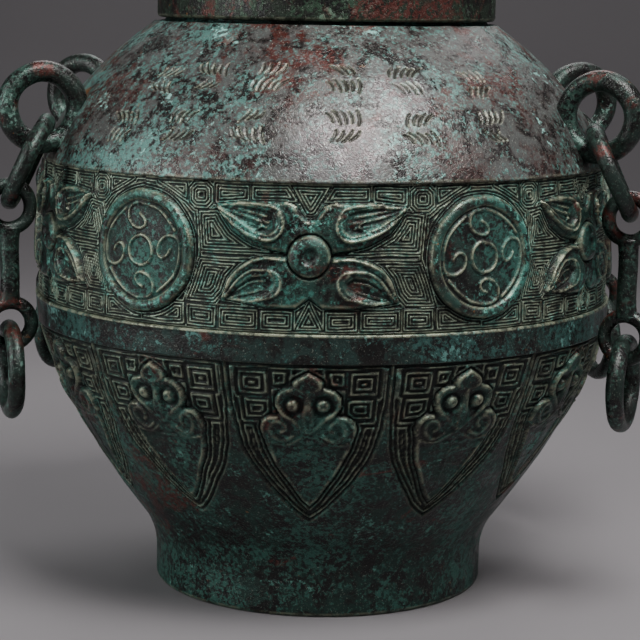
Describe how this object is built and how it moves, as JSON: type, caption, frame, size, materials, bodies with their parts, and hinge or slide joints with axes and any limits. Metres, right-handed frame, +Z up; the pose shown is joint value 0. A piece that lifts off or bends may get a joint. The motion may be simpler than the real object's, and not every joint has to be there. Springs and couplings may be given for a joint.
{
  "type": "lidded bronze jar",
  "caption": "Round-bodied cast bronze jar on a ring foot, with a lift-off lid, a carved band, leaf blades and chained rings on its shoulder.",
  "frame": {"origin": "centre of the foot ring's underside", "axes": "+Z up the jar's axis; the front, with a bossed motif between two medallions, faces -Y; the chains hang to the left and right, on -X and +X"},
  "size_m": [0.3304, 0.3052, 0.3401],
  "materials": {
    "jar_bronze": "dark cast bronze under a green and blue-green patina, semi-gloss",
    "lid_bronze": "olive-green patinated bronze with rust-brown patches, semi-gloss",
    "chain_bronze": "dark worn bronze with green corrosion, semi-gloss"
  },
  "bodies": {
    "root": {"jar": "jar_bronze", "lid": "lid_bronze", "upper_ring_front_right": "chain_bronze", "upper_ring_back_right": "chain_bronze", "upper_ring_back_left": "chain_bronze", "upper_ring_front_left": "chain_bronze", "bar_link_front_right": "chain_bronze", "bar_link_back_right": "chain_bronze", "bar_link_back_left": "chain_bronze", "bar_link_front_left": "chain_bronze", "pull_ring_front_right": "chain_bronze", "pull_ring_back_right": "chain_bronze", "pull_ring_back_left": "chain_bronze", "pull_ring_front_left": "chain_bronze"}
  },
  "joints": []
}
